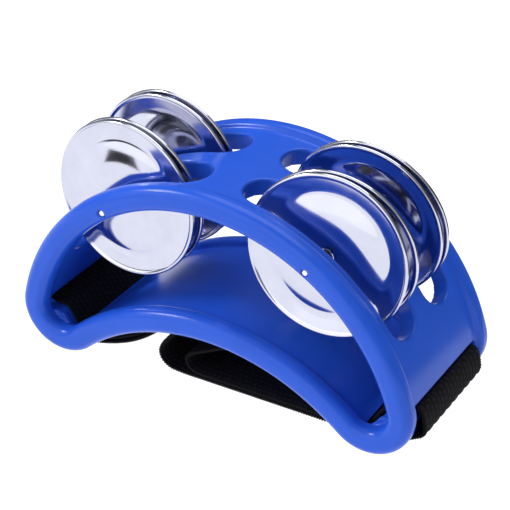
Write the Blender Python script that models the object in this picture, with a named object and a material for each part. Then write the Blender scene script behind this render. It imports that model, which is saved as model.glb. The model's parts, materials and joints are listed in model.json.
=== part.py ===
"""Foot tambourine: a moulded arch frame, eight jingles on two pins, and an endless elastic strap.

Frame of reference: metres, +Z up, +X along the length, -Y to the front rim.
The origin is under the middle of the object, on the plane that it stands on.
Everything is symmetric about x = 0 except how the jingles hang and the slack in the strap.
"""
import math

import bmesh
import bpy
from mathutils import Matrix, Vector

# ---------------------------------------------------------------- driving dimensions
HALF_DEPTH = 0.02716          # middle plane to the face of either rim
TIP_RADIUS = 0.01423          # rounded ends of the crescent
TIP_X = 0.05316               # centre of a rounded end, from the middle
ARCH_HEIGHT = 0.06956         # top of the crescent above the tip's lowest point
FOOT_HEIGHT = 0.01992         # underside of the crescent at the middle
LAND_DEPTH = 0.00014          # cut off the rounded tips to leave a flat to stand on

RIM_INNER_Y = 0.0212          # where a rim meets the wall between the rims
RIM_THICKNESS = 0.0079        # of a rim, in the plane of the crescent
RIM_OUTER_ROUND = 0.0029
RIM_INNER_ROUND = 0.0018
LEAST_STEP = 0.0001           # from the inner rounding to the wall's face
TOP_WALL = (0.0019, 0.0076)   # outer and inner face of the wall, inwards from the crescent
SLOT_WALL = (0.0020, 0.0068)  # beside the upper strap slot
FOOT_WALL = (0.0030, 0.0058)  # along the underside
TO_SLOT_TURN = (60, 82)       # the wall's faces change over these turns from the top, degrees
TO_FOOT_TURN = (120, 200)

JINGLE_RADIUS = 0.0248
JINGLE_X = 0.0340
JINGLE_HOLE_RADIUS = 0.0023
JINGLE_SLACK = 0.0010         # a jingle's hole hangs this far under the middle of its pin
SHEET = 0.0006                # jingle steel
LIP_DEPTH = 0.0012            # curled edge of a jingle
LIP_ROUND = (0.0007, 0.0003)  # of the curled edge, along the radius and along the axis
FLANGE_END = 0.0013           # the flange's slope ends this far inside the edge
VALLEY_WIDTH = 0.0007         # flat ring between the dome and the flange
DOME_HEIGHT = 0.0014          # crown above the curled edge's inner side
DOME_RADIUS = 0.0183          # of the dome's foot, where the sloping flange begins
DOME_RISE = 0.0016            # crown above that foot
CROWN_RADIUS = 0.0095         # of the dome's nearly flat middle
CROWN_DROP = 0.00006          # from the middle to that radius
DOME_RINGS = (JINGLE_HOLE_RADIUS, 0.0075, CROWN_RADIUS, 0.0148, DOME_RADIUS)
# How each loose jingle hangs: the side it is on, Y of its hole's centre, the way its dome
# points along Y, and its axis leaning up from -Y and turned towards +X, in degrees.
JINGLES = {
    "front_left_a": (-1, -0.0148, -1, 1.6, -3.0),
    "front_left_b": (-1, -0.0086, 1, -4.9, -3.7),
    "front_right_a": (1, -0.0148, -1, 5.0, 3.2),
    "front_right_b": (1, -0.0072, 1, -5.2, 2.2),
    "back_left_a": (-1, 0.0071, -1, -0.3, -1.8),
    "back_left_b": (-1, 0.0118, 1, -1.5, -2.6),
    "back_right_a": (1, 0.0088, -1, -5.8, -1.6),
    "back_right_b": (1, 0.0142, 1, -8.8, -2.3),
}

PIN_RADIUS = 0.0010
PIN_Z = 0.0544
PIN_CLEARANCE = 0.0003
PIN_END = 0.0003              # a pin's ends lie this far under the rims' faces
PIN_END_ROUND = 0.0003
BORE_HALF_LENGTH = 0.035      # of the cutter, past both rims

JINGLE_SLOT_Y = (0.0039, 0.0176)
JINGLE_SLOT_ANGLE = (5.3, 61.2)   # degrees from the top, round the arch
JINGLE_SLOT_CUT = (0.058, 0.073)  # radii that the cutter spans, through the wall

STRAP_HALF_WIDTH = 0.0190
STRAP_THICKNESS = 0.0012
STRAP_SLOT_HALF_WIDTH = 0.0202
BAR_TOP = 0.0109              # top of the bar that the strap goes round, inside each tip
BAR_CHAMFER = (0.0018, 0.0006)    # of its inner upper edge, across and down
BAR_CHAMFER_SET = 0.0004      # how far the chamfer's foot stands off the lower slot's line
BAR_BACK_RADIUS = 0.0108      # of its back, buried in the wall round the tip
BAR_BACK_TURN = (-102, -18)   # degrees, as in a plot of x and z
BAR_BACK_STEPS = 9
BAR_OVERLAP = 0.0008          # how far its ends run into the rims
# (x, z) of the slot through the wall above that bar, on the right
UPPER_SLOT = [(0.0575, BAR_TOP), (0.0720, BAR_TOP), (0.0720, 0.0179), (0.0600, 0.0143),
              (0.0575, 0.0143)]
LOWER_SLOT_CENTRE = (0.05095, 0.0045)
LOWER_SLOT_DIRECTION = (0.54, 0.84)
LOWER_SLOT_HALF_WIDTH = 0.0010
LOWER_SLOT_REACH = (-0.0050, 0.0082)  # from that centre, along that direction

# ---------------------------------------------------------------- derived from the above
TIP_Z = TIP_RADIUS - LAND_DEPTH
TOP_RADIUS = (TIP_X ** 2 + (ARCH_HEIGHT - TIP_RADIUS) ** 2 - TIP_RADIUS ** 2) / (
    2 * (ARCH_HEIGHT - 2 * TIP_RADIUS))
TOP_Z = ARCH_HEIGHT - TOP_RADIUS - LAND_DEPTH
FOOT_RADIUS = (TIP_X ** 2 + (FOOT_HEIGHT - TIP_RADIUS) ** 2 - TIP_RADIUS ** 2) / (
    2 * FOOT_HEIGHT)
FOOT_Z = FOOT_HEIGHT - FOOT_RADIUS - LAND_DEPTH
TOP_TURN = math.degrees(math.atan2(TIP_X, TIP_Z - TOP_Z))
TIP_TURN = 180 + math.degrees(math.atan2(TIP_X, TIP_Z - FOOT_Z))
JINGLE_Z = PIN_Z - JINGLE_SLACK

# ---------------------------------------------------------------- facets
TOP_STEPS, TIP_STEPS, FOOT_STEPS = 22, 13, 14
ROUND_STEPS = 3
JINGLE_STEPS = 28
PIN_STEPS = 16
SLOT_STEPS = 22
SLOT_CAP_TURNS = (10, 26, 42, 58, 74)   # facets round a jingle slot's end, degrees
STRAP_STEPS = 3               # facets between two points of the strap's route


# ---------------------------------------------------------------- helpers
def clear_scene():
    for old in list(bpy.data.objects):
        bpy.data.objects.remove(old, do_unlink=True)


def make_material(name, colour, roughness, metallic):
    material = bpy.data.materials.new(name)
    material.use_nodes = True
    shader = material.node_tree.nodes["Principled BSDF"]
    shader.inputs["Base Color"].default_value = (*colour, 1.0)
    shader.inputs["Roughness"].default_value = roughness
    shader.inputs["Metallic"].default_value = metallic
    return material


def make_object(name, mesh_data, material=None, sharp_angle=35.0):
    """An object from a bmesh, with outward faces, shaded smooth up to sharp_angle."""
    bmesh.ops.recalc_face_normals(mesh_data, faces=mesh_data.faces)
    mesh = bpy.data.meshes.new(name)
    mesh_data.to_mesh(mesh)
    mesh_data.free()
    mesh.shade_smooth()
    mesh.set_sharp_from_angle(angle=math.radians(sharp_angle))
    item = bpy.data.objects.new(name, mesh)
    bpy.context.collection.objects.link(item)
    if material is not None:
        mesh.materials.append(material)
    return item


def loft(rings, closed):
    """Quads between rings of equally many points; end rings get caps unless closed."""
    shape = bmesh.new()
    rows = [[shape.verts.new(point) for point in ring] for ring in rings]
    count = len(rows[0])
    pairs = list(zip(rows, rows[1:]))
    if closed:
        pairs.append((rows[-1], rows[0]))
    else:
        shape.faces.new(rows[0])
        shape.faces.new(reversed(rows[-1]))
    for first, second in pairs:
        for i in range(count):
            j = (i + 1) % count
            shape.faces.new((first[i], second[i], second[j], first[j]))
    return shape


def prism(outline, half_width):
    """The (x, z) outline extruded in Y to both sides of the middle plane."""
    rings = [[(x, side * half_width, z) for x, z in outline] for side in (-1, 1)]
    return loft(rings, closed=False)


def cutter(name, mesh_data):
    item = make_object(name, mesh_data)
    item.hide_render = True
    item.display_type = "WIRE"
    return item


def combine(target, other, operation):
    modifier = target.modifiers.new(operation.lower() + "_" + other.name, "BOOLEAN")
    modifier.operation = operation
    modifier.solver = "EXACT"
    modifier.object = other


def arc(centre, radius, start, end, steps):
    """Points on a circle; angles in degrees, measured as in a plot of the two axes."""
    points = []
    for i in range(steps + 1):
        angle = math.radians(start + (end - start) * i / steps)
        points.append((centre[0] + radius * math.cos(angle),
                       centre[1] + radius * math.sin(angle)))
    return points


def smooth_step(value):
    value = min(1.0, max(0.0, value))
    return value * value * (3 - 2 * value)


# ---------------------------------------------------------------- frame
def crescent_stations():
    """(x, z, inward x, inward z, turn) round the crescent; turn is degrees from the top."""
    stations = []
    for i in range(TOP_STEPS):
        turn = -TOP_TURN + 2 * TOP_TURN * i / TOP_STEPS
        sine, cosine = math.sin(math.radians(turn)), math.cos(math.radians(turn))
        stations.append((TOP_RADIUS * sine, TOP_Z + TOP_RADIUS * cosine, -sine, -cosine, abs(turn)))
    right_tip = []
    for i in range(TIP_STEPS):
        turn = TOP_TURN + (TIP_TURN - TOP_TURN) * i / TIP_STEPS
        sine, cosine = math.sin(math.radians(turn)), math.cos(math.radians(turn))
        right_tip.append((TIP_X + TIP_RADIUS * sine, TIP_Z + TIP_RADIUS * cosine,
                          -sine, -cosine, turn))
    stations += right_tip
    spread = TIP_TURN - 180
    for i in range(FOOT_STEPS + 1):
        angle = math.radians(spread - 2 * spread * i / FOOT_STEPS)
        stations.append((FOOT_RADIUS * math.sin(angle), FOOT_Z + FOOT_RADIUS * math.cos(angle),
                         math.sin(angle), math.cos(angle), TIP_TURN))
    for x, z, inward_x, inward_z, turn in reversed(right_tip[1:]):
        stations.append((-x, z, -inward_x, inward_z, turn))
    return stations


def wall_faces(turn):
    """Depths of the wall's outer and inner face at a turn round the crescent."""
    to_slot, to_foot = (smooth_step((turn - start) / (end - start))
                        for start, end in (TO_SLOT_TURN, TO_FOOT_TURN))
    faces = []
    for top, slot, foot in zip(TOP_WALL, SLOT_WALL, FOOT_WALL):
        faces.append(top + (slot - top) * to_slot + (foot - slot) * to_foot)
    return faces


def frame_section(outer, inner):
    """(depth, y) round the I-shaped section: two rounded rims joined by the wall."""
    outer_round = min(RIM_INNER_ROUND, outer - LEAST_STEP)
    inner_round = min(RIM_INNER_ROUND, RIM_THICKNESS - inner - LEAST_STEP)
    big = RIM_OUTER_ROUND
    near = RIM_INNER_Y
    half = [(outer, near)]
    half += arc((outer_round, near + outer_round), outer_round, 270, 180, ROUND_STEPS - 1)
    half += arc((big, HALF_DEPTH - big), big, 180, 90, ROUND_STEPS)
    half += arc((RIM_THICKNESS - big, HALF_DEPTH - big), big, 90, 0, ROUND_STEPS)
    half += arc((RIM_THICKNESS - inner_round, near + inner_round), inner_round, 0, -90,
                ROUND_STEPS - 1)
    half.append((inner, near))
    return half + [(depth, -y) for depth, y in reversed(half)]


def crescent_body():
    rings = []
    for x, z, inward_x, inward_z, turn in crescent_stations():
        section = frame_section(*wall_faces(turn))
        rings.append([(x + depth * inward_x, y, z + depth * inward_z) for depth, y in section])
    return loft(rings, closed=True)


def strap_bar(side):
    """The thick bar inside a tip: flat on top, sloped to the lower slot, backed by the wall."""
    along = Vector(LOWER_SLOT_DIRECTION).normalized()
    foot = Vector(LOWER_SLOT_CENTRE)
    corner = foot + along * (BAR_TOP - foot.y) / along.y
    across, down = BAR_CHAMFER
    outline = [(corner.x + BAR_CHAMFER_SET + across, BAR_TOP),
               (corner.x + BAR_CHAMFER_SET, BAR_TOP - down), (foot.x, foot.y)]
    outline += arc((TIP_X, TIP_Z), BAR_BACK_RADIUS, *BAR_BACK_TURN, BAR_BACK_STEPS)
    return prism([(side * x, z) for x, z in outline], RIM_INNER_Y + BAR_OVERLAP)


def upper_strap_slot(side):
    return prism([(side * x, z) for x, z in UPPER_SLOT], STRAP_SLOT_HALF_WIDTH)


def lower_strap_slot(side):
    along = Vector(LOWER_SLOT_DIRECTION).normalized()
    across = Vector((along.y, -along.x)) * LOWER_SLOT_HALF_WIDTH
    centre = Vector(LOWER_SLOT_CENTRE)
    low, high = (centre + along * reach for reach in LOWER_SLOT_REACH)
    corners = [low - across, low + across, high + across, high - across]
    return prism([(side * corner.x, corner.y) for corner in corners], STRAP_SLOT_HALF_WIDTH)


def jingle_slot(side, row):
    """A slot with round ends that follows the arch, cut square to its surface."""
    near, far = JINGLE_SLOT_Y
    middle, half_width = row * (near + far) / 2, (far - near) / 2
    start, end = (math.radians(angle) for angle in JINGLE_SLOT_ANGLE)
    cap = half_width / TOP_RADIUS
    under, over = JINGLE_SLOT_CUT
    angles = [start + cap * (1 - math.cos(math.radians(turn))) for turn in SLOT_CAP_TURNS]
    angles += [start + cap + (end - start - 2 * cap) * i / SLOT_STEPS
               for i in range(SLOT_STEPS + 1)]
    angles += [start + end - angle for angle in reversed(angles[:len(SLOT_CAP_TURNS)])]
    rings = []
    for angle in angles:
        into_cap = max(0.0, start + cap - angle, angle - (end - cap)) / cap
        half = half_width * math.sqrt(1 - into_cap * into_cap)
        ring = []
        for radius, y in ((under, -half), (under, half), (over, half), (over, -half)):
            ring.append((side * radius * math.sin(angle), middle + y,
                         TOP_Z + radius * math.cos(angle)))
        rings.append(ring)
    return loft(rings, closed=False)


def round_rod(x, z, radius, half_length, steps, end_round=0.0):
    """A rod along Y, with its ends rounded off by end_round."""
    sections = [(-half_length, radius - end_round), (-half_length + end_round, radius),
                (half_length - end_round, radius), (half_length, radius - end_round)]
    if end_round == 0.0:
        sections = [sections[0], sections[3]]
    rings = []
    for y, size in sections:
        rings.append([(px, y, pz) for px, pz in arc((x, z), size, 0, 360, steps)[:-1]])
    return loft(rings, closed=False)


def make_frame(material):
    frame = make_object("frame", crescent_body(), material, sharp_angle=40.0)
    for side, label in ((-1, "left"), (1, "right")):
        combine(frame, cutter("bar_" + label, strap_bar(side)), "UNION")
    for side, label in ((-1, "left"), (1, "right")):
        combine(frame, cutter("upper_slot_" + label, upper_strap_slot(side)), "DIFFERENCE")
        combine(frame, cutter("lower_slot_" + label, lower_strap_slot(side)), "DIFFERENCE")
        for row, place in ((-1, "front"), (1, "back")):
            name = "jingle_slot_" + place + "_" + label
            combine(frame, cutter(name, jingle_slot(side, row)), "DIFFERENCE")
        bore = round_rod(side * JINGLE_X, PIN_Z, PIN_RADIUS + PIN_CLEARANCE, BORE_HALF_LENGTH,
                         PIN_STEPS)
        combine(frame, cutter("pin_bore_" + label, bore), "DIFFERENCE")
    reach, depth = 1.2 * (TIP_X + TIP_RADIUS), TIP_RADIUS
    below = prism([(-reach, -depth), (reach, -depth), (reach, 0.0), (-reach, 0.0)],
                  BORE_HALF_LENGTH)
    combine(frame, cutter("standing_plane", below), "DIFFERENCE")
    return frame


# ---------------------------------------------------------------- pins and jingles
def make_pin(side, label, material):
    rod = round_rod(side * JINGLE_X, PIN_Z, PIN_RADIUS, HALF_DEPTH - PIN_END, PIN_STEPS,
                    PIN_END_ROUND)
    return make_object("jingle_pin_" + label, rod, material)


def dome_drop(radius):
    """How far the dome has fallen at a radius: a flat crown, then a shoulder that steepens."""
    if radius < CROWN_RADIUS:
        return CROWN_DROP * (radius / CROWN_RADIUS) ** 2
    slope, width = 2 * CROWN_DROP / CROWN_RADIUS, DOME_RADIUS - CROWN_RADIUS
    bend = (DOME_RISE - CROWN_DROP - slope * width) / width ** 2
    out = radius - CROWN_RADIUS
    return CROWN_DROP + slope * out + bend * out * out


def jingle_section():
    """(radius, height) round the pressed sheet; height 0 is the inner side of its curled edge."""
    in_by, down_by = LIP_ROUND
    dome = [(radius, DOME_HEIGHT - dome_drop(radius)) for radius in DOME_RINGS]
    valley = (DOME_RADIUS + VALLEY_WIDTH, DOME_HEIGHT - DOME_RISE)
    flange_end = (JINGLE_RADIUS - FLANGE_END, LIP_DEPTH - down_by)
    lip = [(JINGLE_RADIUS - in_by, LIP_DEPTH), (JINGLE_RADIUS, LIP_DEPTH - down_by),
           (JINGLE_RADIUS, down_by), (JINGLE_RADIUS - in_by, 0.0)]
    outside = dome + [valley, flange_end]
    inside = [(radius, height - SHEET) for radius, height in reversed(outside)]
    return outside + lip + inside


def make_jingle(name, side, hole_y, facing, lean, turn, material):
    """One pressed disc, tilted about the middle of its hole; facing is its dome's way along Y."""
    hole_height = DOME_HEIGHT - SHEET / 2
    rings = []
    for i in range(JINGLE_STEPS):
        angle = 2 * math.pi * i / JINGLE_STEPS
        rings.append([(radius * math.sin(angle), facing * (height - hole_height),
                       radius * math.cos(angle)) for radius, height in jingle_section()])
    jingle = make_object(name, loft(rings, closed=True), material, sharp_angle=50.0)
    tilt = (Matrix.Rotation(math.radians(turn), 4, "Z")
            @ Matrix.Rotation(math.radians(-lean), 4, "X"))
    jingle.matrix_world = Matrix.Translation((side * JINGLE_X, hole_y, JINGLE_Z)) @ tilt
    return jingle


def make_jingles(material):
    for label, (side, hole_y, facing, lean, turn) in JINGLES.items():
        make_jingle("jingle_" + label, side, hole_y, facing, lean, turn, material)


# ---------------------------------------------------------------- strap
# (x, z) in millimetres along the middle of the webbing, chosen by hand. The band leaves the
# right tip's upper slot, goes round the tip, and lies along the standing surface to its fold.
TIP_WRAP = [(57.0, 11.9), (61.2, 12.4), (64.3, 14.2), (66.1, 14.6), (67.3, 12.6), (67.9, 10.0),
            (68.0, 8.0), (67.2, 6.3), (65.4, 5.2), (62.4, 3.6), (58.4, 1.8), (53.2, 0.85)]
TIP_EXIT = [(49.2, 2.5), (50.2, 3.35), (52.45, 6.85), (54.2, 9.6), (55.3, 11.1)]
OUTER_SLACK = [(47.0, 0.75), (36.0, 0.7), (22.0, 0.7), (8.0, 0.7), (-6.0, 0.7), (-14.0, 0.75),
               (-18.2, 1.3), (-20.7, 3.2), (-21.4, 5.8), (-20.5, 8.4), (-18.6, 10.9),
               (-16.4, 13.2), (-15.2, 15.2), (-15.9, 16.9), (-17.8, 16.6), (-20.2, 14.6),
               (-22.9, 12.4), (-26.9, 9.3), (-32.6, 5.9), (-38.4, 3.5), (-46.0, 1.4)]
INNER_SLACK = [(-45.6, 3.2), (-38.9, 5.0), (-33.3, 7.4), (-27.7, 10.7), (-23.9, 13.8),
               (-20.6, 16.8), (-16.8, 18.8), (-10.0, 19.4), (-2.5, 19.6), (3.2, 19.2),
               (6.0, 17.6), (5.2, 15.8), (2.6, 14.7), (-0.1, 13.5), (-3.2, 12.0), (-6.4, 10.4),
               (-9.3, 9.0), (-11.3, 7.3), (-11.8, 5.6), (-10.8, 3.4), (-7.8, 2.2), (-2.0, 2.1),
               (8.0, 2.05), (22.0, 2.05), (36.0, 2.05), (45.6, 2.2)]


def strap_route():
    """The closed route of the webbing's middle, in metres."""
    left_wrap = [(-x, z) for x, z in reversed(TIP_WRAP)]
    left_exit = [(-x, z) for x, z in reversed(TIP_EXIT)]
    points = TIP_WRAP + OUTER_SLACK + left_wrap + left_exit + INNER_SLACK + TIP_EXIT
    return [Vector((x / 1000, z / 1000)) for x, z in points]


def smooth_loop(points, steps):
    """A closed curve through the points, with its speed set by their spacing."""
    curve = []
    count = len(points)
    for i in range(count):
        before, start, end, after = (points[(i + k) % count] for k in (-1, 0, 1, 2))
        spans = [max((b - a).length, 1e-6) ** 0.5
                 for a, b in ((before, start), (start, end), (end, after))]
        leave = ((start - before) / spans[0] - (end - before) / (spans[0] + spans[1])
                 + (end - start) / spans[1]) * spans[1]
        arrive = ((end - start) / spans[1] - (after - start) / (spans[1] + spans[2])
                  + (after - end) / spans[2]) * spans[1]
        for step in range(steps):
            t = step / steps
            curve.append(start * (2 * t ** 3 - 3 * t ** 2 + 1) + leave * (t ** 3 - 2 * t ** 2 + t)
                         + end * (3 * t ** 2 - 2 * t ** 3) + arrive * (t ** 3 - t ** 2))
    return curve


def make_strap(material):
    curve = smooth_loop(strap_route(), STRAP_STEPS)
    rings = []
    for i, point in enumerate(curve):
        direction = (curve[(i + 1) % len(curve)] - curve[i - 1]).normalized()
        normal = Vector((direction.y, -direction.x)) * STRAP_THICKNESS / 2
        ring = []
        for offset, y in ((normal, -1), (normal, 1), (-normal, 1), (-normal, -1)):
            place = point + offset
            ring.append((place.x, y * STRAP_HALF_WIDTH, place.y))
        rings.append(ring)
    return make_object("elastic_strap", loft(rings, closed=True), material)


def main():
    clear_scene()
    plastic = make_material("blue_moulding", (0.055, 0.13, 0.66), 0.35, 0.0)
    steel = make_material("plated_steel", (0.80, 0.80, 0.82), 0.12, 1.0)
    webbing = make_material("black_elastic", (0.012, 0.012, 0.014), 0.85, 0.0)
    make_frame(plastic)
    for side, label in ((-1, "left"), (1, "right")):
        make_pin(side, label, steel)
    make_jingles(steel)
    make_strap(webbing)


main()
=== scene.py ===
"""Looks of the foot tambourine: a moulded frame, pins, jingles and a woven elastic strap.

Lengths are in millimetres up to the point where a mesh is made, and in metres in Blender.
"""
import json
import math

import bmesh
import bpy
import numpy as np
from mathutils import Matrix, Vector


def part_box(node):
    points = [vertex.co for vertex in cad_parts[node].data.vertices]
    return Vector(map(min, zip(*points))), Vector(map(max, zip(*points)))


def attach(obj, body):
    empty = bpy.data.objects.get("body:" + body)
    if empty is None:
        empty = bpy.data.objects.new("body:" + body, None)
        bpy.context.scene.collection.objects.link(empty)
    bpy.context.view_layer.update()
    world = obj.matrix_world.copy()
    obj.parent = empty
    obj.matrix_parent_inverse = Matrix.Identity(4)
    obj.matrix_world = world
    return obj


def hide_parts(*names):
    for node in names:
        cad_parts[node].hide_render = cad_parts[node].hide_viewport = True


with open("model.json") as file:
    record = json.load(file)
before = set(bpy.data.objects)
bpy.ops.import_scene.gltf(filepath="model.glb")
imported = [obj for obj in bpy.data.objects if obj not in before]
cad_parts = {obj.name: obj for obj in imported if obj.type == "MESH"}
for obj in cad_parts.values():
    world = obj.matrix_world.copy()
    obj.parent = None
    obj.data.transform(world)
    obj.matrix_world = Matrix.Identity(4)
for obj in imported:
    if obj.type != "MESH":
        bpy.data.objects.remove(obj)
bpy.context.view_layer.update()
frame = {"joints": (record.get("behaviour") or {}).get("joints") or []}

MM = 0.001
ROOT = "frame_assembly"

# ---------------------------------------------------------------- sizes that the CAD frame has
HALF_DEPTH = 27.16
TIP_RADIUS = 14.23
TIP_X = 53.16
ARCH_HEIGHT = 69.56
FOOT_HEIGHT = 19.92
LAND_DEPTH = 0.14
RIM_INNER_Y = 21.2
RIM_THICKNESS = 7.9
RIM_OUTER_ROUND = 2.9
RIM_INNER_ROUND = 1.8
TOP_WALL = (1.9, 7.6)
SLOT_WALL = (2.0, 6.8)
FOOT_WALL = (3.0, 5.8)
TO_SLOT_TURN = (60, 82)       # the wall's faces change over these turns from the top, degrees
TO_FOOT_TURN = (120, 200)
JINGLE_SLOT_Y = (3.9, 17.6)
JINGLE_SLOT_ANGLE = (5.3, 61.2)
STRAP_SLOT_HALF_WIDTH = 20.2
BAR_TOP = 10.9
BAR_CHAMFER = (1.8, 0.6)      # of the bar's inner upper edge, across and down
BAR_CHAMFER_SET = 0.4
BAR_BACK_RADIUS = 10.8
BAR_BACK_TURN = (-102, -18)   # degrees, as in a plot of x and z
BAR_OVERLAP = 0.8             # how far its ends run into the rims
UPPER_SLOT = [(57.5, BAR_TOP), (72.0, BAR_TOP), (72.0, 17.9), (60.0, 14.3), (57.5, 14.3)]
LOWER_SLOT_CENTRE = (50.95, 4.5)
LOWER_SLOT_DIRECTION = (0.54, 0.84)
LOWER_SLOT_HALF_WIDTH = 1.0
LOWER_SLOT_REACH = (-5.0, 8.2)

TIP_Z = TIP_RADIUS - LAND_DEPTH
TOP_RADIUS = (TIP_X ** 2 + (ARCH_HEIGHT - TIP_RADIUS) ** 2 - TIP_RADIUS ** 2) / (
    2 * (ARCH_HEIGHT - 2 * TIP_RADIUS))
TOP_Z = ARCH_HEIGHT - TOP_RADIUS - LAND_DEPTH
FOOT_RADIUS = (TIP_X ** 2 + (FOOT_HEIGHT - TIP_RADIUS) ** 2 - TIP_RADIUS ** 2) / (
    2 * FOOT_HEIGHT)
FOOT_Z = FOOT_HEIGHT - FOOT_RADIUS - LAND_DEPTH
TOP_TURN = math.degrees(math.atan2(TIP_X, TIP_Z - TOP_Z))
TIP_TURN = 180 + math.degrees(math.atan2(TIP_X, TIP_Z - FOOT_Z))

JINGLE_RADIUS = 24.8
JINGLE_HOLE_RADIUS = 2.3
SHEET = 0.6
LIP_DEPTH = 1.2
DOME_HEIGHT = 1.4
DOME_RADIUS = 18.3
DOME_RISE = 1.6
CROWN_RADIUS = 9.5
CROWN_DROP = 0.06

STRAP_HALF_WIDTH = 19.0
STRAP_THICKNESS = 1.2

# ---------------------------------------------------------------- sizes of these looks alone
WALL_OVERLAP = 2.0            # how far the wall runs into the rims
JINGLE_SLOT_CUT = (55, 76)    # radii that the cut spans
BORE_RADIUS = 1.12
FRAME_FILLET = 1.2            # where a rim meets the wall
SLOT_FILLET = 0.9             # round the jingle slots' edges
BAR_FILLET = 0.8
UPPER_SLOT_FILLET, UPPER_SLOT_CORNER = 0.7, 1.0
LOWER_SLOT_FILLET, LOWER_SLOT_CORNER = 0.5, 0.4
BAR_CORNER = 0.1
BORE_FILLET = 0.35

HOLE_ROUND = 0.12
CROWN_START = 0.5             # from the hole to the first point on the crown
CROWN_GAP = 0.35              # from the crown's edge to the first point outside it
SHOULDER_END = 0.7            # the dome blends into the valley from this far inside its foot
SHOULDER_PULL = 0.05          # the blend is drawn towards a point this far outside the foot
VALLEY = (0.8, 0.05)          # outside the dome's foot, and above it
FLANGE_END = (1.35, 0.42)     # inside the edge, and under the top of the curl
LIP_HALF_TURN = 128           # of the curl round the edge, degrees
PIN_END_CENTRE = 0.02         # radius of the innermost ring of a pin's end
# A pin's end: distance from its tip, and share of the pin's radius there
PIN_END = ((0.0, 0.35), (0.03, 0.62), (0.12, 0.85), (0.3, 1.0), (3.0, 1.0))

SELVEDGE_PITCH = 0.88         # of the weft loops along the strap's edges
SELVEDGE_WIDTH = 0.55
# Across a selvedge: distance from the strap's edge, and share of its thickness on each side
SELVEDGE_SECTION = ((0.0, 0.0), (0.08, 0.40), (0.28, 0.54))
LOOP_DEPTH = 0.32             # of the dip between two loops, across the strap
BEAD_DIP = 0.34               # between two loops, in the thickness
BEAD_HEIGHT = 0.07
RIB_COUNT = 18                # of the lengthwise ribs, across the webbing
RIB_RELIEF = 0.13
RIB_SHARE = 0.55              # of the thickness, on each side, between the selvedges
KNOT_SHARE = 0.8              # of a rib's relief that its knots make
RELIEF_ROOM = 0.08            # taken off each face, to make room for the relief
STRAND_PITCH = STRAP_HALF_WIDTH / (12 * RIB_COUNT)

# ---------------------------------------------------------------- fineness
FRAME_STEP = 0.72             # grid of the frame's surface net
NET_LOW, NET_HIGH = (-69.3, -28.9, -1.1), (69.3, 28.9, 71.0)
JINGLE_STEPS = 144
LIP_STEPS = 14
BAR_BACK_STEPS = 12
PIN_STEPS = 48
STRAP_STEPS = 14              # between two points of the strap's route


# ---------------------------------------------------------------- signed distances (numpy)
def smooth_step(value):
    value = np.clip(value, 0.0, 1.0)
    return value * value * (3 - 2 * value)


def blend_union(a, b, size):
    mix = np.maximum(size - np.abs(a - b), 0.0) / size
    return np.minimum(a, b) - mix * mix * size * 0.25


def blend_cut(a, cut, size):
    """a with cut taken away, and the new edges rounded."""
    return -blend_union(-a, cut, size)


def polygon_distance(px, pz, outline):
    """Signed distance to a polygon in a plane, negative inside."""
    distance = np.full(px.shape, 1e9)
    inside = np.zeros(px.shape, bool)
    for (ax, az), (bx, bz) in zip(outline, outline[1:] + outline[:1]):
        ex, ez = bx - ax, bz - az
        wx, wz = px - ax, pz - az
        along = np.clip((wx * ex + wz * ez) / (ex * ex + ez * ez), 0, 1)
        distance = np.minimum(distance, np.hypot(wx - ex * along, wz - ez * along))
        crosses = (az > pz) != (bz > pz)
        with np.errstate(divide="ignore", invalid="ignore"):
            at = ax + ex * (pz - az) / (ez if ez else 1e-12)
        inside ^= crosses & (px < at)
    return np.where(inside, -distance, distance)


def extruded(flat, y, half_width, corner):
    """A plane shape's distance made into a bar along Y, with its end corners rounded."""
    a = flat + corner
    b = np.abs(y) - half_width + corner
    return np.minimum(np.maximum(a, b), 0.0) + np.hypot(np.maximum(a, 0), np.maximum(b, 0)) - corner


def arc(centre, radius, start, end, steps):
    points = []
    for i in range(steps + 1):
        angle = math.radians(start + (end - start) * i / steps)
        points.append((centre[0] + radius * math.cos(angle),
                       centre[1] + radius * math.sin(angle)))
    return points


def crescent(ax, z):
    """Depth inside the crescent's outline, and the turn round it in degrees from the top."""
    from_top = np.hypot(ax, z - TOP_Z)
    from_foot = np.hypot(ax, z - FOOT_Z)
    from_tip = np.hypot(ax - TIP_X, z - TIP_Z)
    tip_turn = np.degrees(np.arctan2(ax - TIP_X, z - TIP_Z)) % 360
    at_tip = (tip_turn > TOP_TURN) & (tip_turn < TIP_TURN)
    top_depth, foot_depth = TOP_RADIUS - from_top, from_foot - FOOT_RADIUS
    depth = np.where(at_tip, TIP_RADIUS - from_tip, np.minimum(top_depth, foot_depth))
    top_turn = np.minimum(np.degrees(np.arctan2(ax, z - TOP_Z)), TOP_TURN)
    turn = np.where(top_depth < foot_depth, top_turn, TIP_TURN)
    return depth, np.where(at_tip, tip_turn, turn)


def rim_distance(depth, away):
    """The rounded section of a rim; away is the distance from the middle plane."""
    half_n, half_y = RIM_THICKNESS / 2, (HALF_DEPTH - RIM_INNER_Y) / 2
    n, y = depth - half_n, away - RIM_INNER_Y - half_y
    corner = np.where(y > 0, RIM_OUTER_ROUND, RIM_INNER_ROUND)
    a, b = np.abs(n) - half_n + corner, np.abs(y) - half_y + corner
    return np.minimum(np.maximum(a, b), 0.0) + np.hypot(np.maximum(a, 0), np.maximum(b, 0)) - corner


def wall_distance(depth, turn, away):
    to_slot, to_foot = (smooth_step((turn - start) / (end - start))
                        for start, end in (TO_SLOT_TURN, TO_FOOT_TURN))
    outer, inner = (top + (slot - top) * to_slot + (foot - slot) * to_foot
                    for top, slot, foot in zip(TOP_WALL, SLOT_WALL, FOOT_WALL))
    return np.maximum(np.maximum(outer - depth, depth - inner), away - RIM_INNER_Y - WALL_OVERLAP)


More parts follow.
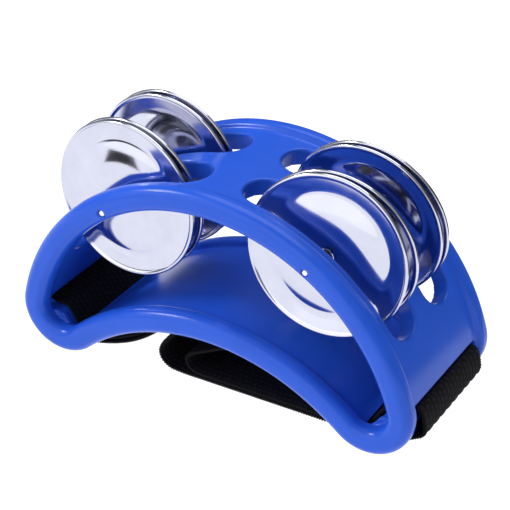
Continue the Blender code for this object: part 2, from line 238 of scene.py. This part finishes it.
def bar_outline():
    along = Vector(LOWER_SLOT_DIRECTION).normalized()
    foot = Vector(LOWER_SLOT_CENTRE)
    corner = foot + along * (BAR_TOP - foot.y) / along.y
    across, down = BAR_CHAMFER
    outline = [(corner.x + BAR_CHAMFER_SET + across, BAR_TOP),
               (corner.x + BAR_CHAMFER_SET, BAR_TOP - down), (foot.x, foot.y)]
    return outline + arc((TIP_X, TIP_Z), BAR_BACK_RADIUS, *BAR_BACK_TURN, BAR_BACK_STEPS)


def lower_slot_outline():
    along = Vector(LOWER_SLOT_DIRECTION).normalized()
    across = Vector((along.y, -along.x)) * LOWER_SLOT_HALF_WIDTH
    centre = Vector(LOWER_SLOT_CENTRE)
    low, high = (centre + along * reach for reach in LOWER_SLOT_REACH)
    return [tuple(low - across), tuple(low + across), tuple(high + across), tuple(high - across)]


def jingle_slot_distance(ax, y, z):
    near, far = JINGLE_SLOT_Y
    start, end = (math.radians(angle) * TOP_RADIUS for angle in JINGLE_SLOT_ANGLE)
    half_width, half_length = (far - near) / 2, (end - start) / 2
    along = np.arctan2(ax, z - TOP_Z) * TOP_RADIUS - (start + end) / 2
    across = np.abs(y) - (near + far) / 2
    flat = np.hypot(np.maximum(np.abs(along) - half_length + half_width, 0), across) - half_width
    from_top = np.hypot(ax, z - TOP_Z)
    under, over = JINGLE_SLOT_CUT
    return np.maximum(flat, np.maximum(under - from_top, from_top - over))


def frame_distance(points, pin_x, pin_z):
    """Signed distance to the moulded frame at points (n, 3)."""
    x, y, z = points[:, 0], points[:, 1], points[:, 2]
    ax, away = np.abs(x), np.abs(y)
    depth, turn = crescent(ax, z)
    body = blend_union(rim_distance(depth, away), wall_distance(depth, turn, away), FRAME_FILLET)
    bar = extruded(polygon_distance(ax, z, bar_outline()), y, RIM_INNER_Y + BAR_OVERLAP,
                   BAR_CORNER)
    body = blend_union(body, bar, BAR_FILLET)
    body = blend_cut(body, jingle_slot_distance(ax, y, z), SLOT_FILLET)
    for outline, corner, fillet in ((UPPER_SLOT, UPPER_SLOT_CORNER, UPPER_SLOT_FILLET),
                                    (lower_slot_outline(), LOWER_SLOT_CORNER, LOWER_SLOT_FILLET)):
        slot = extruded(polygon_distance(ax, z, outline), y, STRAP_SLOT_HALF_WIDTH, corner)
        body = blend_cut(body, slot, fillet)
    body = blend_cut(body, np.hypot(ax - pin_x, z - pin_z) - BORE_RADIUS, BORE_FILLET)
    return np.maximum(body, -z)


# ---------------------------------------------------------------- surface net
def net_from_field(field, low, step):
    """Quads over the zero level of a sampled field, one point for each cell it passes."""
    inside = field < 0
    cells = tuple(n - 1 for n in field.shape)
    total = np.zeros(cells + (3,))
    count = np.zeros(cells, np.int32)
    crossings = []
    for axis in range(3):
        first = [slice(None)] * 3
        second = [slice(None)] * 3
        first[axis], second[axis] = slice(0, -1), slice(1, None)
        differs = inside[tuple(first)] != inside[tuple(second)]
        at = np.argwhere(differs)
        a, b = field[tuple(first)][differs], field[tuple(second)][differs]
        place = at.astype(float)
        place[:, axis] += a / (a - b)
        around = []
        others = [k for k in range(3) if k != axis]
        for p, q in ((1, 1), (0, 1), (0, 0), (1, 0)):
            cell = at.copy()
            cell[:, others[0]] -= p
            cell[:, others[1]] -= q
            around.append(cell)
            np.add.at(total, tuple(cell.T), place)
            np.add.at(count, tuple(cell.T), 1)
        crossings.append((axis, inside[tuple(first)][differs], around))
    used = count > 0
    number = np.cumsum(used.ravel()).reshape(cells) - 1
    points = total[used] / count[used][:, None] * step + low
    quads = []
    for axis, leaving, around in crossings:
        ring = np.stack([number[tuple(cell.T)] for cell in around], axis=1)
        flip = leaving if axis != 1 else ~leaving
        ring[~flip] = ring[~flip][:, ::-1]
        quads.append(ring)
    return points, np.concatenate(quads)


def gradient(distance, points, reach=0.02):
    slope = np.empty_like(points)
    for axis in range(3):
        shift = np.zeros(3)
        shift[axis] = reach
        slope[:, axis] = (distance(points + shift) - distance(points - shift)) / (2 * reach)
    return slope


def settle(distance, points, rounds=4, most=0.4):
    """Moves each point straight onto the zero level."""
    start = points.copy()
    for _ in range(rounds):
        slope = gradient(distance, points)
        size = np.maximum((slope ** 2).sum(1), 0.2)
        points = points - slope * (distance(points) / size)[:, None]
        points = start + np.clip(points - start, -most, most)
    slope = gradient(distance, points)
    return points, slope / np.maximum(np.linalg.norm(slope, axis=1), 1e-6)[:, None]


def sampled(distance, low, high, step):
    """The distance at every grid point of a box, worked out one slice at a time."""
    axes = [np.arange(a, b + step, step) for a, b in zip(low, high)]
    gy, gz = np.meshgrid(axes[1], axes[2], indexing="ij")
    flat = np.empty((gy.size, 3))
    flat[:, 1], flat[:, 2] = gy.ravel(), gz.ravel()
    field = np.empty([len(a) for a in axes])
    for i, x in enumerate(axes[0]):
        flat[:, 0] = x
        field[i] = distance(flat).reshape(gy.shape)
    return field


# ---------------------------------------------------------------- meshes
def mesh_object(name, points, faces, material, normals=None):
    """An object from points in millimetres."""
    mesh = bpy.data.meshes.new(name)
    mesh.from_pydata((np.asarray(points) * MM).tolist(), [], np.asarray(faces).tolist())
    mesh.validate()
    mesh.shade_smooth()
    if normals is not None:
        mesh.normals_split_custom_set_from_vertices(normals.tolist())
    item = bpy.data.objects.new(name, mesh)
    bpy.context.scene.collection.objects.link(item)
    mesh.materials.append(material)
    return item


def add_attribute(item, name, values):
    data = item.data.attributes.new(name, "FLOAT", "POINT")
    data.data.foreach_set("value", np.asarray(values, np.float32))


def ring_faces(rings, around, closed_rings=True):
    """Quads between closed rings of points; the last ring meets the first if closed_rings."""
    faces = []
    last = rings if closed_rings else rings - 1
    for i in range(last):
        j = (i + 1) % rings
        for k in range(around):
            m = (k + 1) % around
            faces.append((i * around + k, j * around + k, j * around + m, i * around + m))
    return faces


def face_outwards(item, fill_ends=False):
    shape = bmesh.new()
    shape.from_mesh(item.data)
    if fill_ends:
        bmesh.ops.holes_fill(shape, edges=shape.edges, sides=0)
    bmesh.ops.recalc_face_normals(shape, faces=shape.faces)
    shape.to_mesh(item.data)
    shape.free()


def pin_size(side):
    """The x, z, radius and half length of a pin in the CAD frame."""
    low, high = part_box("jingle_pin_" + side)
    return tuple(value / MM for value in ((low.x + high.x) / 2, (low.z + high.z) / 2,
                                          (high.x - low.x) / 2, high.y))


def make_frame(material):
    pin_x, pin_z = pin_size("right")[:2]

    def distance(points):
        return frame_distance(points, pin_x, pin_z)

    field = sampled(distance, NET_LOW, NET_HIGH, FRAME_STEP)
    points, quads = net_from_field(field, np.array(NET_LOW), FRAME_STEP)
    points, normals = settle(distance, points)
    item = mesh_object("moulded_frame", points, quads, material, normals)
    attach(item, ROOT)
    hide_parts("frame")


def dome_drop(radius):
    """How far the dome has fallen at a radius: a flat crown, then a shoulder that steepens."""
    if radius < CROWN_RADIUS:
        return CROWN_DROP * (radius / CROWN_RADIUS) ** 2
    slope, width = 2 * CROWN_DROP / CROWN_RADIUS, DOME_RADIUS - CROWN_RADIUS
    bend = (DOME_RISE - CROWN_DROP - slope * width) / width ** 2
    out = radius - CROWN_RADIUS
    return CROWN_DROP + slope * out + bend * out * out


def jingle_profile():
    """(radius, height) round the pressed sheet, from the hole over the outside and back."""
    outside = [(JINGLE_HOLE_RADIUS, DOME_HEIGHT - HOLE_ROUND),
               (JINGLE_HOLE_RADIUS + HOLE_ROUND, DOME_HEIGHT)]
    crown = np.linspace(JINGLE_HOLE_RADIUS + CROWN_START, CROWN_RADIUS, 9)
    flank = np.linspace(CROWN_RADIUS + CROWN_GAP, DOME_RADIUS - SHOULDER_END, 16)
    for radius in np.concatenate([crown, flank]):
        outside.append((radius, DOME_HEIGHT - dome_drop(radius)))
    edge, foot = outside[-1], DOME_HEIGHT - DOME_RISE
    wide, lift = VALLEY
    pull, valley = (DOME_RADIUS + SHOULDER_PULL, foot), (DOME_RADIUS + wide, foot + lift)
    for t in (0.2, 0.4, 0.6, 0.8, 1.0):
        outside.append(tuple((1 - t) ** 2 * a + 2 * t * (1 - t) * b + t * t * c
                             for a, b, c in zip(edge, pull, valley)))
    flange_end = (JINGLE_RADIUS - FLANGE_END[0], LIP_DEPTH - FLANGE_END[1])
    for t in (0.25, 0.5, 0.75, 0.92, 1.0):
        outside.append(tuple(a + (b - a) * t for a, b in zip(valley, flange_end)))
    lip_radius = LIP_DEPTH / 2
    lip = arc((JINGLE_RADIUS - lip_radius, lip_radius), lip_radius, LIP_HALF_TURN,
              -LIP_HALF_TURN, LIP_STEPS)
    inside = [(radius, height - SHEET) for radius, height in reversed(outside[1:])]
    return outside + lip + inside


def make_jingles(material):
    profile = jingle_profile()
    count = len(profile)
    radii = np.array([r for r, _ in profile])
    heights = np.array([h for _, h in profile])
    angles = np.arange(JINGLE_STEPS) * 2 * math.pi / JINGLE_STEPS
    faces = ring_faces(JINGLE_STEPS, count)
    joints = {joint["child"]: (Vector(joint["pos_m"]), Vector(joint["axis"]))
              for joint in frame["joints"]}
    for place in ("front", "back"):
        for side in ("left", "right"):
            for layer, facing in (("a", -1), ("b", 1)):
                node = "jingle_" + place + "_" + side + "_" + layer
                hole, axis = joints[node + "_body"]
                turn = Vector((0, 1, 0)).rotation_difference(axis).to_matrix()
                points = np.empty((JINGLE_STEPS, count, 3))
                points[:, :, 0] = np.sin(angles)[:, None] * radii
                points[:, :, 1] = facing * (heights - DOME_HEIGHT + SHEET / 2)
                points[:, :, 2] = np.cos(angles)[:, None] * radii
                points = points.reshape(-1, 3) @ np.array(turn).T + np.array(hole) / MM
                used = faces if facing > 0 else [face[::-1] for face in faces]
                item = mesh_object("disc_" + place + "_" + side + "_" + layer,
                                   points, used, material)
                add_attribute(item, "ring_mm", np.tile(radii, JINGLE_STEPS))
                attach(item, node + "_body")
                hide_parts(node)


def make_pins(material):
    for side in ("left", "right"):
        x, z, radius, end = pin_size(side)
        sections = [(end, PIN_END_CENTRE)]
        sections += [(end - inwards, share * radius) for inwards, share in PIN_END]
        sections += [(-y, size) for y, size in reversed(sections)]
        points = []
        for y, size in sections:
            for k in range(PIN_STEPS):
                angle = 2 * math.pi * k / PIN_STEPS
                points.append((x + size * math.cos(angle), y, z + size * math.sin(angle)))
        faces = ring_faces(len(sections), PIN_STEPS, closed_rings=False)
        item = mesh_object("pin_wire_" + side, points, faces, material)
        face_outwards(item, fill_ends=True)
        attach(item, ROOT)
        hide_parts("jingle_pin_" + side)


# ---------------------------------------------------------------- strap
# (x, z) along the middle of the webbing in millimetres, listed one by one
TIP_WRAP = [(57.0, 11.9), (61.2, 12.4), (64.3, 14.2), (66.1, 14.6), (67.3, 12.6), (67.9, 10.0),
            (68.0, 8.0), (67.2, 6.3), (65.4, 5.2), (62.4, 3.6), (58.4, 1.8), (53.2, 0.85)]
TIP_EXIT = [(49.2, 2.5), (50.2, 3.35), (52.45, 6.85), (54.2, 9.6), (55.3, 11.1)]
OUTER_SLACK = [(47.0, 0.75), (36.0, 0.7), (22.0, 0.7), (8.0, 0.7), (-6.0, 0.7), (-14.0, 0.75),
               (-18.2, 1.3), (-20.7, 3.2), (-21.4, 5.8), (-20.5, 8.4), (-18.6, 10.9),
               (-16.4, 13.2), (-15.2, 15.2), (-15.9, 16.9), (-17.8, 16.6), (-20.2, 14.6),
               (-22.9, 12.4), (-26.9, 9.3), (-32.6, 5.9), (-38.4, 3.5), (-46.0, 1.4)]
INNER_SLACK = [(-45.6, 3.2), (-38.9, 5.0), (-33.3, 7.4), (-27.7, 10.7), (-23.9, 13.8),
               (-20.6, 16.8), (-16.8, 18.8), (-10.0, 19.4), (-2.5, 19.6), (3.2, 19.2),
               (6.0, 17.6), (5.2, 15.8), (2.6, 14.7), (-0.1, 13.5), (-3.2, 12.0), (-6.4, 10.4),
               (-9.3, 9.0), (-11.3, 7.3), (-11.8, 5.6), (-10.8, 3.4), (-7.8, 2.2), (-2.0, 2.1),
               (8.0, 2.05), (22.0, 2.05), (36.0, 2.05), (45.6, 2.2)]


def strap_route():
    """Round the right bar, back along the outer layer, round the left bar, along the inner one."""
    left_wrap = [(-x, z) for x, z in reversed(TIP_WRAP)]
    left_exit = [(-x, z) for x, z in reversed(TIP_EXIT)]
    points = TIP_WRAP + OUTER_SLACK + left_wrap + left_exit + INNER_SLACK + TIP_EXIT
    return [Vector(point) for point in points]


def smooth_loop(points, steps):
    """A closed curve through the points, with its speed set by their spacing."""
    curve = []
    count = len(points)
    for i in range(count):
        before, start, end, after = (points[(i + k) % count] for k in (-1, 0, 1, 2))
        spans = [max((b - a).length, 1e-3) ** 0.5
                 for a, b in ((before, start), (start, end), (end, after))]
        leave = ((start - before) / spans[0] - (end - before) / (spans[0] + spans[1])
                 + (end - start) / spans[1]) * spans[1]
        arrive = ((end - start) / spans[1] - (after - start) / (spans[1] + spans[2])
                  + (after - end) / spans[2]) * spans[1]
        for step in range(steps):
            t = step / steps
            curve.append(start * (2 * t ** 3 - 3 * t ** 2 + 1) + leave * (t ** 3 - 2 * t ** 2 + t)
                         + end * (3 * t ** 2 - 2 * t ** 3) + arrive * (t ** 3 - t ** 2))
    return np.array([tuple(point) for point in curve])


def even_loop(curve, pitch):
    """The closed curve again, with points at an even pitch; also its length."""
    closed = np.vstack([curve, curve[:1]])
    run = np.concatenate([[0], np.cumsum(np.linalg.norm(np.diff(closed, axis=0), axis=1))])
    count = 2 * round(run[-1] / pitch)
    at = np.arange(count) * run[-1] / count
    return np.stack([np.interp(at, run, closed[:, k]) for k in (0, 1)], axis=1), at, run[-1]


def make_strap(material):
    """The webbing: ribs along its length, each a row of knots, and looped selvedges."""
    curve, at, length = even_loop(smooth_loop(strap_route(), STRAP_STEPS), SELVEDGE_PITCH)
    count = len(curve)
    direction = np.roll(curve, -2, 0) - np.roll(curve, 2, 0)
    direction /= np.linalg.norm(direction, axis=1)[:, None]
    normal = np.stack([direction[:, 1], -direction[:, 0]], axis=1)
    inwards, share = (np.array(values) for values in zip(*SELVEDGE_SECTION))
    body_half = STRAP_HALF_WIDTH - SELVEDGE_WIDTH
    inner = np.linspace(body_half, -body_half, 3 * RIB_COUNT + 1)
    rows, edge, flat = np.arange(len(inner)), STRAP_HALF_WIDTH - inwards, 0 * inwards

    def both_faces(first, middle, last):
        """A value for each point round the section: over the upper face, back over the lower."""
        upper = np.concatenate([first, middle, last])
        return np.concatenate([upper, upper[::-1][1:-1]])

    side = both_faces(edge, inner, -edge[::-1])
    half = both_faces(share, np.full(len(inner), RIB_SHARE), share[::-1])
    ridge = both_faces(flat, np.where(rows % 3 == 0, -1.0, 1.0), flat)
    rib_number = both_faces(flat, rows // 3, flat)
    selvedge = both_faces(flat + 1, 0 * rows, flat + 1)
    upper_count = len(inner) + 2 * len(edge)
    sign = np.where(np.arange(len(side)) < upper_count, 1.0, -1.0)
    step = np.arange(count)[:, None]
    knot = np.cos((step / 2 + rib_number[None, :]) * math.pi)
    loop = np.where(step % 2 == 0, 0.0, -LOOP_DEPTH) * selvedge
    knotted = ridge * (1 - KNOT_SHARE + KNOT_SHARE * knot)
    relief = RIB_RELIEF * np.where(ridge > 0, knotted, ridge)
    relief = np.where(selvedge > 0, BEAD_HEIGHT - BEAD_DIP * (step % 2), relief)
    lift = sign * (half * STRAP_THICKNESS - RELIEF_ROOM + relief) * (half > 0)
    points = np.empty((count, len(side), 3))
    points[:, :, 0] = curve[:, 0:1] + normal[:, 0:1] * lift
    points[:, :, 1] = side[None, :] + np.sign(side) * loop
    points[:, :, 2] = curve[:, 1:2] + normal[:, 1:2] * lift
    item = mesh_object("elastic_webbing", points.reshape(-1, 3),
                       ring_faces(count, len(side)), material)
    add_attribute(item, "run_mm", np.repeat(at, len(side)))
    add_attribute(item, "across_mm", np.tile(side, count))
    # the relief's height, which the strap's material turns into painted shade in the grooves and
    # painted highlight on the crowns
    add_attribute(item, "height_mm", (relief + np.zeros((count, 1))).ravel())
    face_outwards(item)
    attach(item, ROOT)
    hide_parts("elastic_strap")


# ---------------------------------------------------------------- materials
# A pair holds the two ends that a texture varies between
BLUE = ((0.016, 0.090, 0.60), (0.020, 0.102, 0.66))
BLUE_ROUGHNESS = (0.20, 0.25)
BLUE_IOR, BLUE_SPECULAR = 1.34, 0.45
PLATING = ((0.54, 0.55, 0.66), (0.59, 0.60, 0.72))
PLATING_ROUGHNESS = (0.08, 0.15)
WIRE_COLOUR = (0.74, 0.74, 0.76, 1)
WIRE_ROUGHNESS = (0.14, 0.30)
# The strap's black runs from a painted shade low in the grooves to a painted highlight on the rib
# crowns, with the yarn's own pattern mixed in
BLACK = ((0.0006, 0.0006, 0.0012), (0.014, 0.014, 0.021))
BLACK_ROUGHNESS, BLACK_SPECULAR = 0.78, 0.12
FLOOR_GLOW = 1.15


class Nodes:
    """Short calls for building a material's node tree."""

    def __init__(self, name):
        self.material = bpy.data.materials.new(name)
        self.material.use_nodes = True
        self.tree = self.material.node_tree
        self.shader = self.tree.nodes["Principled BSDF"]

    def add(self, kind, **settings):
        node = self.tree.nodes.new(kind)
        for key, value in settings.items():
            if key in node.inputs:
                node.inputs[key].default_value = value
            else:
                setattr(node, key, value)
        return node

    def link(self, source, target):
        self.tree.links.new(source, target)

    def math(self, operation, a, b=None):
        node = self.add("ShaderNodeMath", operation=operation)
        for socket, value in zip(node.inputs, (a, b)):
            if value is None:
                continue
            if isinstance(value, (int, float)):
                socket.default_value = value
            else:
                self.link(value, socket)
        return node.outputs[0]

    def attribute(self, name):
        return self.add("ShaderNodeAttribute", attribute_name=name).outputs["Fac"]

    def position(self):
        return self.add("ShaderNodeTexCoord").outputs["Object"]

    def noise(self, vector, scale, detail=4.0, rough=0.55):
        node = self.add("ShaderNodeTexNoise", Scale=scale, Detail=detail, Roughness=rough)
        self.link(vector, node.inputs["Vector"])
        return node.outputs["Fac"]

    def ramp(self, source, low, high, start=0.0, end=1.0):
        node = self.add("ShaderNodeMapRange")
        node.inputs["From Min"].default_value = start
        node.inputs["From Max"].default_value = end
        node.inputs["To Min"].default_value = low
        node.inputs["To Max"].default_value = high
        self.link(source, node.inputs["Value"])
        return node.outputs[0]

    def colours(self, source, stops):
        node = self.add("ShaderNodeValToRGB")
        elements = node.color_ramp.elements
        while len(elements) < len(stops):
            elements.new(0.5)
        for element, (place, colour) in zip(elements, stops):
            element.position = place
            element.color = (*colour, 1.0)
        self.link(source, node.inputs["Fac"])
        return node.outputs["Color"]

    def bump(self, height, strength, distance, after=None):
        node = self.add("ShaderNodeBump", Strength=strength, Distance=distance)
        self.link(height, node.inputs["Height"])
        if after is not None:
            self.link(after, node.inputs["Normal"])
        return node.outputs["Normal"]


def blue_plastic():
    n = Nodes("blue_moulded_plastic")
    place = n.position()
    cloud = n.noise(place, 60, 5)
    colour = n.colours(cloud, [(0.30, BLUE[0]), (0.70, BLUE[1])])
    n.link(colour, n.shader.inputs["Base Color"])
    n.link(n.ramp(n.noise(place, 150, 3), *BLUE_ROUGHNESS, 0.3, 0.7), n.shader.inputs["Roughness"])
    n.link(n.bump(n.noise(place, 420, 1), 0.03, 0.0001), n.shader.inputs["Normal"])
    n.shader.inputs["IOR"].default_value = BLUE_IOR
    n.shader.inputs["Specular IOR Level"].default_value = BLUE_SPECULAR
    return n.material


def plated_steel():
    n = Nodes("plated_jingle_steel")
    place = n.position()
    radius = n.attribute("ring_mm")
    haze = n.noise(place, 130, 5)
    n.link(n.colours(haze, [(0.3, PLATING[0]), (0.7, PLATING[1])]),
           n.shader.inputs["Base Color"])
    n.shader.inputs["Metallic"].default_value = 1.0
    n.link(n.ramp(haze, *PLATING_ROUGHNESS, 0.35, 0.75), n.shader.inputs["Roughness"])
    rings = n.add("ShaderNodeCombineXYZ")
    n.link(radius, rings.inputs[0])
    turned = n.noise(rings.outputs[0], 6.0, 3)
    marks = n.bump(turned, 0.02, 0.0001)
    n.link(n.bump(n.noise(place, 45, 1), 0.05, 0.002, marks), n.shader.inputs["Normal"])
    return n.material


def wire_steel():
    n = Nodes("pin_wire_steel")
    place = n.position()
    scratch = n.noise(place, 900, 4)
    n.shader.inputs["Base Color"].default_value = WIRE_COLOUR
    n.shader.inputs["Metallic"].default_value = 1.0
    n.link(n.ramp(scratch, *WIRE_ROUGHNESS), n.shader.inputs["Roughness"])
    n.link(n.bump(scratch, 0.08, 0.0002), n.shader.inputs["Normal"])
    return n.material


def black_elastic():
    n = Nodes("black_woven_elastic")
    run, across = n.attribute("run_mm"), n.attribute("across_mm")
    strand = n.math("SINE", n.math("ADD", n.math("MULTIPLY", across, 2 * math.pi / STRAND_PITCH),
                                   n.math("MULTIPLY", run, 2 * math.pi / SELVEDGE_PITCH)))
    fuzz = n.noise(n.position(), 2600, 3)
    yarn = n.math("ADD", n.math("MULTIPLY", strand, 0.25), fuzz)
    # Painted shade and highlight: the colour is darker down in the grooves and lighter on the
    # crowns, by the relief's height
    high = n.ramp(n.attribute("height_mm"), 0.0, 0.6, -RIB_RELIEF, RIB_RELIEF)
    yarn_and_painted_shading = n.math("ADD", high, n.math("MULTIPLY", yarn, 0.5))
    n.link(n.colours(yarn_and_painted_shading, [(0.15, BLACK[0]), (0.90, BLACK[1])]),
           n.shader.inputs["Base Color"])
    n.shader.inputs["Roughness"].default_value = BLACK_ROUGHNESS
    n.shader.inputs["Specular IOR Level"].default_value = BLACK_SPECULAR
    n.link(n.bump(yarn, 0.6, 0.00012), n.shader.inputs["Normal"])
    return n.material


def floor_material():
    n = Nodes("pale_floor")
    n.shader.inputs["Base Color"].default_value = (0.12, 0.12, 0.12, 1)
    n.shader.inputs["Roughness"].default_value = 0.9
    n.shader.inputs["Specular IOR Level"].default_value = 0.1
    n.shader.inputs["Emission Color"].default_value = (1, 1, 1, 1)
    n.shader.inputs["Emission Strength"].default_value = FLOOR_GLOW
    return n.material


# ---------------------------------------------------------------- studio
# Name, place in metres, size in metres and power in watts
SOFTBOXES = (("key_softbox", (-0.69, -0.37, 0.65), (0.2, 0.2), 3.6),
             ("top_softbox", (-0.05, 0.25, 1.0), (0.9, 0.9), 6.5),
             ("front_softbox", (-0.25, -0.62, 0.52), (1.3, 0.5), 2.5))
LIGHTS_AIM = Vector((0, 0, 0.03))
WORLD_COLOUR = (0.96, 0.97, 1.0, 1)
WORLD_STRENGTH = 0.32
# Name, angle round the object in degrees, distance, width, and heights, in metres.
DARK_CARDS = (("card_front_left", -134, 0.22, 0.06, 0.012, 0.052),
              ("card_right", 32, 0.60, 1.20, 0.0, 0.45),
              ("card_right_near", 42, 0.135, 0.22, 0.0, 0.10),
              ("card_back", 115, 0.60, 0.70, 0.0, 0.38))
WHITE_CARDS = (("card_front", -108, 0.95, 1.5, 0.0, 0.45),)
WHITE_CARD_GLOW = 1.5
FLOOR_REACH = 3.0
CAMERA_PLACE = (0.22766, -0.36699, 0.29218)
CAMERA_ANGLES = (31.61, 30.63, -1.09)     # azimuth, elevation and roll in degrees
CAMERA_LENS = 118.49


def area_light(name, place, size, power):
    light = bpy.data.lights.new(name, "AREA")
    light.shape = "RECTANGLE"
    light.size, light.size_y = size
    light.energy = power
    item = bpy.data.objects.new(name, light)
    bpy.context.scene.collection.objects.link(item)
    item.location = place
    item.rotation_euler = (LIGHTS_AIM - Vector(place)).to_track_quat("-Z", "Y").to_euler()


def card_material(name, glow):
    n = Nodes(name)
    n.shader.inputs["Base Color"].default_value = (0.01, 0.01, 0.012, 1)
    n.shader.inputs["Emission Color"].default_value = (1, 1, 1, 1)
    n.shader.inputs["Emission Strength"].default_value = glow
    return n.material


def flat_panel(name, half_width, half_height, material):
    """A rectangle about its origin, left out of the object."""
    w, h = half_width, half_height
    mesh = bpy.data.meshes.new(name)
    mesh.from_pydata([(-w, -h, 0), (w, -h, 0), (w, h, 0), (-w, h, 0)], [], [(0, 1, 2, 3)])
    mesh.materials.append(material)
    item = bpy.data.objects.new(name, mesh)
    bpy.context.scene.collection.objects.link(item)
    return item


def reflection_card(name, place, size, material):
    """A card that only reflections show. It faces the middle of the scene."""
    item = flat_panel(name, size[0] / 2, size[1] / 2, material)
    item.location = place
    inwards = Vector((-place[0], -place[1], 0))
    item.rotation_euler = inwards.to_track_quat("Z", "Y").to_euler()
    item.visible_camera = False
    item.visible_diffuse = False
    item.visible_shadow = False


def make_studio():
    flat_panel("studio_floor", FLOOR_REACH, FLOOR_REACH, floor_material())
    world = bpy.data.worlds.new("studio_world")
    bpy.context.scene.world = world
    world.use_nodes = True
    sky = world.node_tree.nodes["Background"]
    sky.inputs["Color"].default_value = WORLD_COLOUR
    sky.inputs["Strength"].default_value = WORLD_STRENGTH
    for name, place, size, power in SOFTBOXES:
        area_light(name, place, size, power)
    for cards, look, glow in ((DARK_CARDS, "dark_card", 0.0),
                              (WHITE_CARDS, "white_card", WHITE_CARD_GLOW)):
        material = card_material(look, glow)
        for name, angle, distance, width, low, high in cards:
            turn = math.radians(angle)
            place = (distance * math.cos(turn), distance * math.sin(turn), (low + high) / 2)
            reflection_card(name, place, (width, high - low), material)
    bpy.context.scene.view_settings.view_transform = "Standard"
    bpy.context.scene.view_settings.look = "None"


def make_camera():
    azimuth, elevation, roll = (math.radians(angle) for angle in CAMERA_ANGLES)
    back = Vector((math.sin(azimuth) * math.cos(elevation),
                   -math.cos(azimuth) * math.cos(elevation), math.sin(elevation)))
    right = Vector((math.cos(azimuth), math.sin(azimuth), 0))
    up = back.cross(right)
    turned_right = math.cos(roll) * right + math.sin(roll) * up
    turned_up = -math.sin(roll) * right + math.cos(roll) * up
    data = bpy.data.cameras.new("photo_view")
    data.sensor_width = 36
    data.lens = CAMERA_LENS
    item = bpy.data.objects.new("photo_view", data)
    bpy.context.scene.collection.objects.link(item)
    turn = Matrix((turned_right, turned_up, back)).transposed().to_4x4()
    item.matrix_world = Matrix.Translation(CAMERA_PLACE) @ turn
    bpy.context.scene.camera = item


def main():
    make_camera()
    make_studio()
    make_frame(blue_plastic())
    make_pins(wire_steel())
    make_jingles(plated_steel())
    make_strap(black_elastic())


main()
